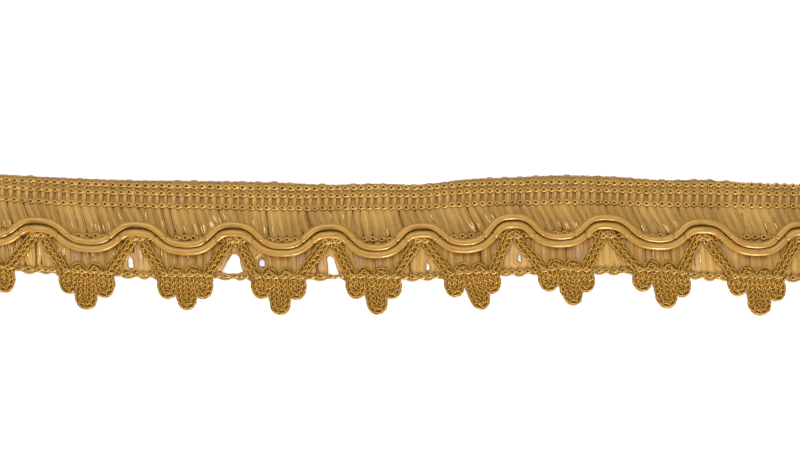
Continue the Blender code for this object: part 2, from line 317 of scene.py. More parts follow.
def lower_x(stitch):
    """Where a stitch of the lower rows lies: six of each twelve stand on the chainette's six strands."""
    knots, places = [0], [CRESTS[0]]
    for wave in range(WAVES):
        knots += [STITCHES * wave + 4, STITCHES * wave + 9, STITCHES * wave + 12]
        places += [FEET[wave] + STRANDS[0], FEET[wave] + STRANDS[-1], CRESTS[wave + 1]]
    return np.interp(stitch, knots, places)


def parted(x, y, margin=0.0):
    """x of yarns[..., step] moved aside by the partings: by half the opening at that y, times e to the
    minus distance over reach. A yarn passes each opening on one side, the side it has halfway down."""
    moved = np.array(x, float)
    for p in PARTINGS:
        q = (p.top - y) / (p.top - p.bottom)
        ends = np.clip(q / 0.1, 0, 1) * np.clip((1 - q) / 0.08, 0, 1)
        wide = (p.wide_top + (p.wide - p.wide_top) * np.clip(q, 0, 1)) * np.sqrt(ends)
        middle = p.x + p.lean * (q - 0.5)
        away = x - middle
        halfway = np.abs(q - 0.5).argmin(axis=-1)
        side = np.where(np.take_along_axis(away, halfway[..., None], axis=-1) >= 0, 1.0, -1.0)
        beyond = np.maximum(away * side, 0)
        reach = max(1.5, 0.62 * max(p.wide, p.wide_top))
        push = (wide / 2 + (margin if p.through else 0)) * np.exp(-beyond / reach)
        moved = np.where(ends > 0, moved + side * (beyond + push) - away, moved)
    return moved


def smooth(t):
    """3t^2 - 2t^3, with t held between 0 and 1."""
    t = np.clip(t, 0, 1)
    return t * t * (3 - 2 * t)


def add_object(name, data):
    """A new object, linked to the scene."""
    made = bpy.data.objects.new(name, data)
    bpy.context.scene.collection.objects.link(made)
    return made


def new_piece(name, points, corners, sizes, finish, uv, tone):
    """A mesh object from points in millimetres, the points of each face in turn and each face's size."""
    mesh = bpy.data.meshes.new(name)
    mesh.vertices.add(len(points))
    mesh.vertices.foreach_set("co", (np.asarray(points) * MM).astype(np.float32).ravel())
    mesh.loops.add(len(corners))
    mesh.loops.foreach_set("vertex_index", np.asarray(corners, np.int32))
    mesh.polygons.add(len(sizes))
    starts = np.concatenate([[0], np.cumsum(sizes)[:-1]])
    mesh.polygons.foreach_set("loop_start", starts.astype(np.int32))
    mesh.update(calc_edges=True)
    mesh.polygons.foreach_set("use_smooth", np.ones(len(sizes), bool))
    layer = mesh.uv_layers.new(name="yarn")
    layer.uv.foreach_set("vector", np.asarray(uv, np.float32).ravel())
    attribute = mesh.attributes.new("tone", "FLOAT", "POINT")
    attribute.data.foreach_set("value", np.asarray(tone, np.float32).ravel())
    mesh.materials.append(finish)
    made = add_object(name, mesh)
    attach(made, "root")
    return made


def unit(vectors):
    """Each vector over its length."""
    return vectors / np.maximum(np.linalg.norm(vectors, axis=-1, keepdims=True), 1e-9)


def yarns(name, lines, half_width, half_height, sides, finish, up=None, tone=None, square=1.0):
    """Yarns as ellipses carried along lines[yarn, step]: middle + side cos(a) width + rise sin(a) height.

    The side is square to the line and to up. The cosine and the sine are raised to the power square, and
    below 1 that makes the profile fuller. The ends are closed. The UV map holds the share round the yarn
    and the length along it in millimetres, and tone is one number for each yarn or for each of its steps.
    """
    lines = np.asarray(lines, float)
    count, steps = lines.shape[:2]
    run = unit(np.gradient(lines, axis=1))
    if up is None:
        up = np.broadcast_to([0.0, 0.0, 1.0], lines.shape)
    side = unit(np.cross(run, up))
    rise = np.cross(side, run)
    angle = 2 * np.pi * np.arange(sides) / sides
    over = np.sign(np.cos(angle)) * np.abs(np.cos(angle)) ** square
    upward = np.sign(np.sin(angle)) * np.abs(np.sin(angle)) ** square
    wide = np.broadcast_to(half_width, (count, steps))[..., None, None]
    high = np.broadcast_to(half_height, (count, steps))[..., None, None]
    ring = over[:, None] * wide * side[:, :, None, :] + upward[:, None] * high * rise[:, :, None, :]
    points = (lines[:, :, None, :] + ring).reshape(-1, 3)
    index = np.arange(count * steps * sides).reshape(count, steps, sides)
    following = np.roll(index, -1, axis=2)
    quads = np.stack([index[:, :-1], index[:, 1:], following[:, 1:], following[:, :-1]], axis=-1)
    quads = quads.reshape(-1, 4)
    caps = np.concatenate([index[:, 0], index[:, -1, ::-1]])
    length = np.cumsum(np.linalg.norm(np.diff(lines, axis=1, prepend=lines[:, :1]), axis=-1), axis=1)
    u0 = np.broadcast_to(np.arange(sides) / sides, (count, steps - 1, sides))
    u1 = u0 + 1 / sides
    v0 = np.broadcast_to(length[:, :-1, None], u0.shape)
    v1 = np.broadcast_to(length[:, 1:, None], u0.shape)
    quad_uv = np.stack([np.stack(uv, axis=-1) for uv in ((u0, v0), (u0, v1), (u1, v1), (u1, v0))], axis=-2)
    cap_uv = np.zeros((caps.size, 2))
    corners = np.concatenate([quads.ravel(), caps.ravel()])
    sizes = np.concatenate([np.full(len(quads), 4), np.full(len(caps), sides)])
    uv = np.concatenate([quad_uv.reshape(-1, 2), cap_uv])
    tones = np.asarray(random.random(count) if tone is None else tone)
    tones = tones[:, None] if tones.ndim == 1 else tones
    spread = np.repeat(np.broadcast_to(tones, (count, steps)), sides, axis=1)
    return new_piece(name, points, corners, sizes, finish, uv, spread)


def srgb(code):
    """A colour code of six hex digits as linear red, green, blue and full opacity."""
    channels = np.array([int(code[i : i + 2], 16) / 255 for i in (0, 2, 4)])
    linear = np.where(channels <= 0.04045, channels / 12.92, ((channels + 0.055) / 1.055) ** 2.4)
    return (*linear.tolist(), 1.0)


def add_node(tree, kind, settings=(), links=()):
    """A new node with settings for its sockets or properties, and links from (node, output) pairs."""
    made = tree.nodes.new("ShaderNode" + kind)
    for key, value in dict(settings).items():
        if isinstance(key, int) or key in made.inputs:
            made.inputs[key].default_value = value
        else:
            setattr(made, key, value)
    for key, (source, output) in dict(links).items():
        tree.links.new(source.outputs[output], made.inputs[key])
    return made


def new_finish(name, roughness, specular, gloss="FFFFFF"):
    """A material and its node tree, with the shader's even values set on its own sockets."""
    made = bpy.data.materials.new(name)
    made.use_nodes = True
    shader = made.node_tree.nodes["Principled BSDF"]
    shader.inputs["Roughness"].default_value = roughness
    shader.inputs["Specular IOR Level"].default_value = specular
    shader.inputs["Specular Tint"].default_value = srgb(gloss)
    return made, made.node_tree, shader


def yarn_finish(
    name, dark, light, groove, roughness, specular, filament, depth, streak, twist=0, flank=0, thin=None
):
    """Shiny viscose yarn. Its filaments are streaks along the yarn; a twisted one has slanting grooves.

    dark and light are the yarn's own two tones, and groove the colour of the painted shade between its
    plies and over its lower half and flanks. twist is the length of one turn in millimetres, 0 for a yarn
    with none.
    filament is how many streaks go round the yarn, depth how deep they are in millimetres, streak how much
    they change the tone, and flank how high on the yarn's side its painted shade ends. thin is the colour
    of a place so thin that the table lightens it, painted light.
    """
    made, tree, shader = new_finish(name, roughness, specular, "FFE2A6")
    uv = add_node(tree, "UVMap", {"uv_map": "yarn"})
    tone = add_node(tree, "Attribute", {"attribute_name": "tone"})
    parts = add_node(tree, "SeparateXYZ", links={0: (uv, "UV")})
    around = add_node(tree, "Math", {"operation": "MULTIPLY", 1: filament}, {0: (parts, 0)})
    ahead = add_node(tree, "Math", {"operation": "MULTIPLY", 1: STREAKS_PER_MM}, {0: (parts, 1)})
    apart = add_node(tree, "Math", {"operation": "MULTIPLY", 1: TONE_APART}, {0: (tone, "Fac")})
    place = add_node(tree, "CombineXYZ", links={0: (around, 0), 1: (ahead, 0), 2: (apart, 0)})
    fine = {"Scale": 1.0, "Detail": 3.0, "Roughness": 0.6}
    streaks = add_node(tree, "TexNoise", fine, {"Vector": (place, 0)})
    height = (streaks, "Fac")
    centred = {"operation": "MULTIPLY_ADD", 1: streak, 2: 0.25 - 0.5 * streak}
    shade = add_node(tree, "Math", centred, {0: (streaks, "Fac")})
    clamped = {"operation": "MULTIPLY_ADD", 1: 0.45, "use_clamp": True}
    mixed = add_node(tree, "Math", clamped, {0: (tone, "Fac"), 2: (shade, 0)})
    tones = {"data_type": "RGBA", 6: srgb(dark), 7: srgb(light)}
    colour = add_node(tree, "Mix", tones, {0: (mixed, 0)})
    last = (colour, 2)
    from_groove = {"data_type": "RGBA", 6: srgb(groove)}
    # Painted light: past THIN_TONE the tone mixes in the pale colour of a yarn so thin that the table shows
    # through.
    if thin:
        beyond = {"operation": "SUBTRACT", 1: THIN_TONE, "use_clamp": True}
        spread = add_node(tree, "Math", beyond, {0: (tone, "Fac")})
        lightened = {"data_type": "RGBA", 7: srgb(thin)}
        clear = add_node(tree, "Mix", lightened, {0: (spread, 0), 6: last})
        last = (clear, 2)
    # Painted shade in the grooves between the twisted plies.
    if twist:
        turns = add_node(tree, "Math", {"operation": "MULTIPLY", 1: 1 / twist}, {0: (parts, 1)})
        slant = add_node(tree, "Math", {"operation": "ADD"}, {0: (turns, 0), 1: (parts, 0)})
        saw = add_node(tree, "Math", {"operation": "PINGPONG", 1: 0.5}, {0: (slant, 0)})
        rounded = {"operation": "SMOOTH_MIN", 1: 0.3, 2: 0.2}
        ply = add_node(tree, "Math", rounded, {0: (saw, 0)})
        lower = {"operation": "MULTIPLY_ADD", 1: 0.3}
        raised = add_node(tree, "Math", lower, {0: (streaks, "Fac"), 2: (ply, 0)})
        height = (raised, 0)
        widened = {"operation": "MULTIPLY", 1: 5.0, "use_clamp": True}
        out_of_groove = add_node(tree, "Math", widened, {0: (ply, 0)})
        grooved = add_node(tree, "Mix", from_groove, {0: (out_of_groove, 0), 7: last})
        last = (grooved, 2)
    # Painted shade: the groove colour over the yarn's lower half and up its flanks.
    if flank:
        angle = add_node(tree, "Math", {"operation": "MULTIPLY", 1: 2 * np.pi}, {0: (parts, 0)})
        level = add_node(tree, "Math", {"operation": "SINE"}, {0: (angle, 0)})
        steep = {"operation": "MULTIPLY", 1: 1 / flank, "use_clamp": True}
        on_top = add_node(tree, "Math", steep, {0: (level, 0)})
        shaded = add_node(tree, "Mix", from_groove, {0: (on_top, 0), 7: last})
        last = (shaded, 2)
    bump = add_node(tree, "Bump", {"Strength": 0.6, "Distance": depth * MM}, {"Height": height})
    tree.links.new(last[0].outputs[last[1]], shader.inputs["Base Color"])
    tree.links.new(bump.outputs[0], shader.inputs["Normal"])
    return made


# Viscose filament tow, dyed gold and laid untwisted: satin streaks along its length, painted shade on its
# flanks, and pale and pinkish where it is thin and the table shows through, which is painted light.
weft_finish = yarn_finish(
    "viscose_filament_tow", "7A5824", "B28C50", "A07236",
    roughness=0.4, specular=0.3, filament=13.0, depth=0.05, streak=0.6, flank=0.25, thin="A68460",
)
# The same tow where it turns back at the edges: duller, since it is seen across its filaments, with painted
# shade on its flanks.
turn_finish = yarn_finish(
    "viscose_tow_turns", "7E5E26", "A88A4E", "7A5620",
    roughness=0.45, specular=0.3, filament=6.0, depth=0.04, streak=0.4, flank=0.4,
)
# The backs of the same tows, seen deep between the front ones: redder and darker than the fronts, which is
# painted shade.
back_finish = yarn_finish(
    "viscose_tow_backs", "784E14", "AC7C4A", "7A4406",
    roughness=0.6, specular=0.3, filament=40.0, depth=0.06, streak=0.3,
)
# Loose viscose filaments that stand proud of the tows: pale bright lines where they catch the light, their
# pale colour partly painted highlight and their flanks painted shade. A real one is finer than a pixel, so
# each is drawn as a bunch 0.38 mm wide to show.
proud_glint_finish = yarn_finish(
    "proud_viscose_filaments_painted_glint", "C49A5C", "E6C288", "B08848",
    roughness=0.28, specular=1.0, filament=3.0, depth=0.03, streak=0.6, flank=0.9,
)
# Broken filament ends along the heading: paler and pinker than the tows, since light passes through them.
# They too are drawn coarser than real filaments, 0.1 mm wide.
fuzz_finish = yarn_finish(
    "broken_viscose_filaments", "BC9680", "DCBCAC", "BC9680",
    roughness=0.6, specular=0.3, filament=1.0, depth=0.0, streak=0.4,
)
# Hard-twisted viscose sewing yarn: glossy plies, with dark grooves between them and dark flanks, both
# painted shade.
stitch_finish = yarn_finish(
    "twisted_viscose_chain_yarn", "866226", "BC944A", "764A08",
    roughness=0.28, specular=0.8, twist=0.85, filament=3.0, depth=0.05, streak=1.1, flank=0.5,
)
# Viscose filament wrapped closely round a stiff core: smooth satin with bright lines along the cord and
# warm brown flanks, which are painted shade. The wrapping's own turns are finer than a pixel and aren't
# drawn.
gimp_finish = yarn_finish(
    "wrapped_viscose_gimp", "7A5826", "A67E3C", "B87814",
    roughness=0.3, specular=0.7, filament=18.0, depth=0.07, streak=1.8, flank=0.6,
)
# The chainette's finer twisted yarn: small glints on each loop of the knit and dark brown between them,
# which is painted shade in the grooves between its plies and on its flanks.
knit_finish = yarn_finish(
    "twisted_viscose_knit_yarn", "805A18", "C2964A", "643E00",
    roughness=0.26, specular=0.8, twist=0.7, filament=3.0, depth=0.05, streak=1.2, flank=0.65,
)
# The inside of the chainette, its far side seen through the stitches: matt dark brown, which is painted
# shade.
core_finish = yarn_finish(
    "chainette_inside", "6A4204", "845A12", "6A4204",
    roughness=0.8, specular=0.2, filament=8.0, depth=0.05, streak=0.6,
)


def weft_knots(column):
    """Each weft's place on the heading's edge, the five rows and the lower edge: a straight pass through
    the heading, a slant to the right down to the cords' row, then nearly straight down. It stops a little
    short of both edges, where the turns take over."""
    top = heading_x(column)
    mid = lower_x(column + SLANT_TO_CORDS)
    low = lower_x(column + SLANT_TO_LOWEST)
    x = np.stack([top, top, top, top, mid, low, low], axis=-1)
    row = row_y(x[:, 3])
    y = np.stack(
        [
            row + along("heading", x[:, 0]) - 0.6,
            row + FIRST_ROW,
            row + SECOND_ROW,
            row,
            cords_row_y(x[:, 4]),
            lowest_y(x[:, 5]),
            lowest_y(x[:, 6]) - BELOW_LOWEST_ROW + 0.2,
        ],
        axis=-1,
    )
    return x, y


def make_tows():
    """The wefts' fronts. Between two rows a bundle swells by 1 - |2q - 1|^p and rises by 1 - (2q - 1)^6,
    q being the share of the way. Its three tows lie side by side across it, the outer ones lower, and
    each wanders a little. A bundle is paler where it is fullest, which is painted light, and darker where
    the cords shade it, which is painted shade; its middle tow is painted lighter and its outer ones darker."""
    column = np.arange(-2, STITCHES * WAVES) + 0.5
    x, y = weft_knots(column)
    count = len(column)
    steps = [span.steps for span in SPANS]
    segment = np.concatenate([np.full(n, k) for k, n in enumerate(steps)] + [[len(SPANS) - 1]])
    q = np.concatenate([np.arange(n) / n for n in steps] + [[1.0]])
    full, power, lift, uneven, beside, painted_light = np.array(SPANS)[segment, 1:].T
    floats = segment == FLOAT_SPAN
    low = segment == LOW_SPAN
    swell = 1 - np.abs(2 * q - 1) ** power
    pinch = HELD[segment] + (HELD[segment + 1] - HELD[segment]) * q
    bundle = pinch + (full - pinch) * swell
    ease = np.where(floats, smooth(q * 0.92 + 0.04), q)
    xs = x[:, segment] + (x[:, segment + 1] - x[:, segment]) * ease
    ys = y[:, segment] + (y[:, segment + 1] - y[:, segment]) * q

    lane = np.array([-1.0, 0.0, 1.0])
    width = bundle[None] * (1 + uneven * random.standard_normal((count, 1)).clip(-2, 2))
    bow = BUNDLE_BOWS * random.standard_normal((count, 1)) * np.sin(np.pi * q)[None]
    bow = bow * (segment >= FLOAT_SPAN)[None]
    wander = np.cumsum(random.standard_normal((count, 3, len(q))), axis=2) * TOW_WANDERS
    wander = (wander - wander.mean(axis=2, keepdims=True)) * swell[None, None]
    offset = lane[None, :, None] * (width * beside)[:, None] + wander + bow[:, None]
    puffed = (lift * (1 - (2 * q - 1) ** 6))[None] * random.uniform(0.6, 1.3, (count, 1))
    for raised_x, reach, extra in RAISED:
        near = np.exp(-(((x[:, 3:4] - raised_x) / reach) ** 2))
        puffed = puffed + extra * near * floats * np.sin(np.pi * q**2.2)[None]
    sunk = OUTER_SINKS * (lane**2 * swell[:, None]).T[None]
    high = TOW_LOW + puffed[:, None] + 0.03 * random.random((count, 3, 1)) - sunk
    px = xs[:, None] + offset
    py = np.broadcast_to(ys[:, None], px.shape)
    px = np.clip(parted(px, py, 0.55), START + 0.25, END - 0.25)
    lines = np.stack([px, py, np.broadcast_to(high, px.shape)], axis=-1).reshape(count * 3, len(q), 3)
    half_width = np.repeat(width * TOW_SHARE, 3, axis=0)
    half_height = TOW_HEIGHT * (1.15 - 0.35 * swell)[None]

    # Each tow's lane adds painted light on the middle tow and painted shade on the outer ones.
    tone = BUNDLE_TONE + random.random((count, 1)) * BUNDLE_TONE_SPREAD + TOW_PAINTED_SHADING
    tone = (tone + TOW_TONE_SPREAD * random.random((count, 3))).reshape(-1, 1)
    # Some low bundles, chosen at random, take on the thin colour: painted light of the table through thin
    # tow.
    veiled = (random.random((count, 1)) < 0.15) * 1.5 * (low * np.sin(np.pi * q))[None]
    # Painted shade on the tows beside the cords: at the top of the low span and at the floats' lower end.
    painted_cord_shade = low * np.exp(-((q / 0.09) ** 2)) + floats * np.exp(-(((1 - q) / 0.05) ** 2))
    # Painted light where a bundle is fullest.
    tone = tone + (painted_light * swell - 0.8 * painted_cord_shade)[None] + np.repeat(veiled, 3, axis=0)
    # Painted shadow on the tows just below the lower cord.
    under = upper_cord_y(lines[..., 0]) - CORD_SPACING - CORD_RADIUS - lines[..., 1]
    tone = tone - 1.1 * np.exp(-((under / 0.6) ** 2)) - 0.25 * (segment == CLOSE_SPAN)
    tows = yarns("weft_tows", lines, half_width, half_height, 6, weft_finish, tone=tone)
    middles = lines.reshape(count, 3, len(q), 3)[:, 1]
    return tows, make_proud(x, middles, width, floats, low & (q >= 0.3))


def make_proud(x, middles, width, floats, low):
    """Loose filaments over the tows: at the floats' lower end, most at the raised places, else as sin^2
    from crest to crest, and below the cords, most towards the trim's left end."""
    # A float goes out of sight at the cords' row or the upper cord, and the arcs start 2.3 mm above that.
    shown = np.maximum(cords_row_y(middles[..., 0]) + 0.4, upper_cord_y(middles[..., 0]) + CORD_RADIUS)
    upper = (floats & (middles[..., 1] < shown + 2.3)).argmax(axis=1)[:, None] + np.arange(-1, 3)
    lower = np.flatnonzero(low)[:4] + 0 * upper
    near = np.exp(-(((x[:, 3, None] + 1.0 - RAISED_X) / RAISED_REACH) ** 2))
    near = (near * (RAISED_RISE / RAISED_RISE.max()) ** 2).max(axis=1)
    share = 0.08 * np.sin(np.pi * (x[:, 4] - START) * WAVES / (END - START)) ** 2 + 0.9 * near
    loose = np.interp(x[:, 5], [-85, -60], [0.3, 0.03])
    paths = [proud_lines(middles, upper, width, share, 5), proud_lines(middles, lower, width, loose, 3)]
    # The filaments' pale colour is partly painted highlight.
    return yarns("proud_filaments", np.concatenate(paths), 0.19, 0.06, 6, proud_glint_finish)


def proud_lines(middles, spot, width, share, turns):
    """Short arcs over some bundles, along the steps in spot[bundle, step]: the tow's own line raised by
    a + b sin(s), at a random place across it. share is a bundle's chance of one at each turn."""
    paths = []
    for _ in range(turns):
        chosen = random.random(len(middles)) < share
        steps = spot[chosen]
        path = np.take_along_axis(middles[chosen], steps[..., None], axis=1)
        across = np.take_along_axis(width[chosen], steps, axis=1)
        path[..., 0] += random.uniform(-0.8, 0.8, (len(path), 1)) * across
        path[..., 1] += random.uniform(-0.6, 0.6, (len(path), 1))
        path[..., 2] += 0.15 + 0.12 * np.sin(np.linspace(0, np.pi, path.shape[1]))
        paths.append(path)
    return np.concatenate(paths)


def make_backs():
    """The wefts' backs, as one thin sheet under the fronts: a grid of stitch columns by lines across the
    trim, ribbed as |cos| of the column, parted with the fronts and left out where the table shows."""
    column = np.linspace(0, STITCHES * WAVES, STITCHES * WAVES * 4 + 1)
    x, y = weft_knots(column)
    x[:, 4] = heading_x(column + 0.8)
    x[:, 5:] = heading_x(column)[:, None]
    y[:, 0] += 0.55
    y[:, 5] = lowest_y(x[:, 5])
    y[:, 6] = y[:, 5] - BELOW_LOWEST_ROW + 0.1
    y[:, 4] = cords_row_y(x[:, 4])
    steps = [2, 4, 8, 16, 18, 2]
    across = np.concatenate([[0], np.cumsum(steps)])
    fine = np.arange(across[-1] + 1)
    px = np.stack([np.interp(fine, across, line) for line in x])
    py = np.stack([np.interp(fine, across, line) for line in y])
    base = px.copy()
    px = np.clip(parted(px, py), START, END)
    pz = BACK_TOP - 0.1 + 0.1 * np.abs(np.cos(np.pi * column))[:, None] + np.zeros_like(px)
    index = np.arange(px.size).reshape(px.shape)
    quads = np.stack([index[:-1, :-1], index[:-1, 1:], index[1:, 1:], index[1:, :-1]], axis=-1)
    kept = np.ones(quads.shape[:2], bool)
    for p in [p for p in PARTINGS if p.through]:
        q = (p.top - py) / (p.top - p.bottom)
        halfway = np.abs(q - 0.5).argmin(axis=1)[:, None]
        right = np.take_along_axis(base - p.x - p.lean * (q - 0.5), halfway, axis=1)[:, 0] >= 0
        inside = (q[:-1, :-1] > 0.0) & (q[:-1, 1:] < 1.0)
        kept &= ~(inside & (right[1:] != right[:-1])[:, None])
    quads = quads[kept]
    points = np.stack([px, py, pz], axis=-1).reshape(-1, 3)
    uv = np.stack([column[:, None] / 3 + np.zeros_like(px), py], axis=-1).reshape(-1, 2)[quads.ravel()]
    third = row_y(base)
    rows_y = np.stack([third + FIRST_ROW, third + SECOND_ROW, third, cords_row_y(base), lowest_y(base)])
    nearest = np.abs(rows_y - py).min(axis=0)
    # Darker under the rows, painted shade where the stitches shade the backs, and palest along the
    # heading's edge.
    tone = 0.8 + 0.3 * np.sin(column * 2.1)[:, None] - 0.3 * np.exp(-((nearest / 0.5) ** 2))
    tone = tone + 1.5 * smooth((py - third - along("heading", base) + 1.0) / 0.5)
    piece = new_piece("weft_backs", points, quads.ravel(), np.full(len(quads), 4), back_finish, uv, tone)
    solid = piece.modifiers.new("thickness", "SOLIDIFY")
    solid.thickness = 0.18 * MM
    solid.offset = -1
    return piece


def make_turns():
    """The wefts' turns along both edges: each a half ellipse from one bundle to the next, four yarns
    wide. Every second one stands lower on the heading's edge, and on the lower edge only every second
    stitch has one, with none where the lowest row is broken."""
    every = np.arange(0, STITCHES * WAVES - 1) + 0.5
    angle = np.linspace(0, np.pi, 9)
    lines = []
    # For each edge: its stitches' places, its line, the way and reach of a turn, and the first yarns.
    for place, edge, way, reach, first in (
        (heading_x, lambda x: row_y(x) + along("heading", x) - 0.7, 1, 0.48, every),
        (lower_x, lambda x: lowest_y(x) - BELOW_LOWEST_ROW + 0.45, -1, 0.42, every[::2]),
    ):
        if way < 0:
            first = first[np.abs(place(first + 0.5) - BROKEN_ROW_X) > 1.3]
        low = 0.26 * (np.round(first - 0.5) % 2)[:, None]
        for lane in (-0.5, -0.25, 0.0, 0.2):
            left = place(first) + 0.05
            right = np.minimum(place(first + 1), END - 0.3)
            middle, half = (left + right) / 2, (right - left) / 2 + 0.15 + lane * 0.5
            x = middle[:, None] - half[:, None] * np.cos(angle)
            tall = (reach + lane) * (1 + 0.15 * random.standard_normal((len(first), 1)))
            y = edge(x) - way * low + way * tall * np.sin(angle) ** 0.8
            z = 0.46 + 0.06 * np.sin(angle)[None] + 0.1 * lane - 0.3 * low + np.zeros_like(x)
            lines.append(np.stack([x, y, z], axis=-1))
    lines = np.concatenate(lines)
    return yarns("weft_turns", lines, 0.26, 0.17, 6, turn_finish)


def make_fuzz():
    """Broken filaments on the heading's edge: leaning arcs, l cos(a) along it and b sin(a) across."""
    count = 1500
    x = np.sort(random.uniform(START + 1, END - 1, count))
    a = np.linspace(0, np.pi, 6)
    reach = random.uniform(0.4, 1.1, (count, 1))
    tall = random.uniform(0.05, 0.4, (count, 1))
    lean = random.uniform(-0.4, 0.4, (count, 1))
    px = x[:, None] - reach * np.cos(a) + lean * np.sin(a)
    py = row_y(px) + along("heading", px) - 0.22 + tall * np.sin(a)
    pz = random.uniform(0.25, 0.7, (count, 1)) + 0.1 * np.sin(a)
    return yarns("edge_fuzz", np.stack([px, py, pz], axis=-1), 0.05, 0.04, 3, fuzz_finish)


# One chain stitch, from its base over the next stitch's head and halfway round its own head: its places
# along the row and across it and its height. The way back mirrors it. It is drawn for stitches
# STITCH_LENGTH apart, and its head is tilted by STITCH_TILT degrees, give or take STITCH_TILT_SPREAD.
STITCH_LENGTH = 2.14
STITCH_TILT = -14.0
STITCH_TILT_SPREAD = 9.0
HALF_STITCH = np.array(
    [
        (1.74, -0.05, -0.25),
        (1.36, -0.10, 0.22),
        (0.94, -0.14, 0.34),
        (0.56, -0.22, 0.32),
        (0.28, -0.42, 0.26),
        (-0.04, -0.54, 0.20),
        (-0.36, -0.38, 0.14),
        (-0.48, 0.00, 0.12),
    ]
)
STITCH_PATH = np.concatenate([HALF_STITCH, HALF_STITCH[-2::-1] * [1, -1, 1]])


def stitch_row(name, stitch, place, row, base, size=1.0):
    """A row of chain stitches: STITCH_PATH at each stitch, its head tilted, all a little unevenly."""
    x = place(stitch)
    y = row(x)
    count = len(stitch)
    pitch = (place(stitch + 0.5) - place(stitch - 0.5)) / STITCH_LENGTH
    turned = np.radians(STITCH_TILT + STITCH_TILT_SPREAD * random.standard_normal(count))
    scale = size * (1 + 0.07 * random.standard_normal(count))
    along_row = STITCH_PATH[None, :, 0] * np.clip(pitch, 0.7, 1.25)[:, None]
    across = STITCH_PATH[None, :, 1] * scale[:, None]
    # The tilt is full at the head and fades towards the base.
    spin = turned[:, None] * np.exp(-((STITCH_PATH[None, :, 0] - 0.1) ** 2) / 0.8)
    dx = along_row * np.cos(spin) - across * np.sin(spin)
    dy = along_row * np.sin(spin) + across * np.cos(spin)
    jitter = 0.06 * random.standard_normal((count, 2, 1))
    px = np.clip(x[:, None] + dx + jitter[:, 0], START + 0.2, END - 0.2)
    py = y[:, None] + dy + jitter[:, 1]
    pz = base(x, y)[:, None] + STITCH_PATH[None, :, 2]
    lines = np.stack([px, py, pz], axis=-1)
    return yarns(name, lines, STITCH_YARN * size, STITCH_YARN * size * 0.95, 5, stitch_finish)


def on_wefts(x, y):
    """The heading rows' height, the same all along."""
    return np.full(np.shape(x), STITCH_BASE)


def on_strands(x, y):
    """The lowest row's height: on the chainette where one of its strands passes, else on the wefts."""
    near = np.abs(x[:, None] - (FEET[:, None] + STRANDS).ravel()).min(axis=1)
    on = smooth(1 - (near - 0.6) / 0.5)
    return STITCH_BASE + (CHAINETTE_ON_BAND + CHAINETTE_HALF_HEIGHT - 0.1 - STITCH_BASE) * on


def on_crests(x, y):
    """The cords' row's height: on the chainette beside each crest, a little raised elsewhere."""
    near = np.abs(np.abs(x[:, None] - CRESTS).min(axis=1) - CREST_RADIUS - 0.1)
    on = smooth(1 - (near - 0.7) / 0.8)
    return STITCH_BASE + 0.3 + (CHAINETTE_ON_BAND + CHAINETTE_HALF_HEIGHT - 0.4 - STITCH_BASE) * on


def make_stitches():
    """The heading rows whole, the lowest less one stitch, and the cords' row where no cord covers it."""
    every = np.arange(0, STITCHES * WAVES)
    rows = []
    for name, above in (("stitch_row_1", FIRST_ROW), ("stitch_row_2", SECOND_ROW), ("stitch_row_3", 0.0)):
        rows.append(stitch_row(name, every, heading_x, lambda x: row_y(x) + above, on_wefts))
    half = every + 0.5
    x = lower_x(half)
    apart = upper_cord_y(x) - CORD_SPACING / 2 - cords_row_y(x)
    shown = half[np.abs(apart) > CORD_SPACING / 2 + CORD_RADIUS - 0.35]
    rows.append(stitch_row("stitch_row_4", shown, lower_x, cords_row_y, on_crests, 1.06))
    whole = every[np.abs(lower_x(every + 0.3) - BROKEN_ROW_X) > 0.7]
    rows.append(stitch_row("stitch_row_5", whole, lower_x, lowest_y, on_strands, 0.9))
    return rows


def cord_height(line):
    """A cord's middle height: 0.6 mm more over the chainette, where a crest's bend runs under it."""
    bend_top = cords_row_y(line[:, 0]) - CREST_DROP + CREST_RADIUS + CHAINETTE_HELD_HALF_WIDTH
    over = np.clip((bend_top - line[:, 1] + CORD_RADIUS) / 1.5, 0, 1)
    near = np.abs(line[:, :1] - CRESTS).min(axis=1)
    return CORD_MIDDLE + 0.6 * over * np.exp(-((near / 3.2) ** 2))


def cord_crossings(line):
    """Where a cord crosses the row that catches it: an index on the line for each slope."""
    away = np.abs(line[:, 1] - cords_row_y(line[:, 0]))
    inside = [(line[:, 0] > here) & (line[:, 0] < after) for here, after in zip(STOPS, STOPS[1:])]
    return np.array([(away + 100 * ~span).argmin() for span in inside])


def make_cords():
    """The two gimp cords, a little fuller than round, each drawn in where the cords' row binds it down, by
    e to the minus (distance / reach)^2."""
    made = []
    for name, offset in (("gimp_cord_upper", 0.0), ("gimp_cord_lower", CORD_SPACING)):
        line = cord_line(offset)
        spots = line[cord_crossings(line)]
        nearest = np.linalg.norm(line[:, None] - spots[None], axis=-1).min(axis=1)
        nick = np.exp(-((nearest / BINDING_REACH) ** 2))
        half = CORD_RADIUS * (1 - BINDING_PINCH * nick) * (1 + 0.012 * np.sin(line[:, 0] * 1.9 + offset))
        lines = np.column_stack([line, cord_height(line) - 0.1 * nick])[None]
        made.append(yarns(name, lines, half[None], half[None], 16, gimp_finish, tone=[0.55], square=0.8))
    return made


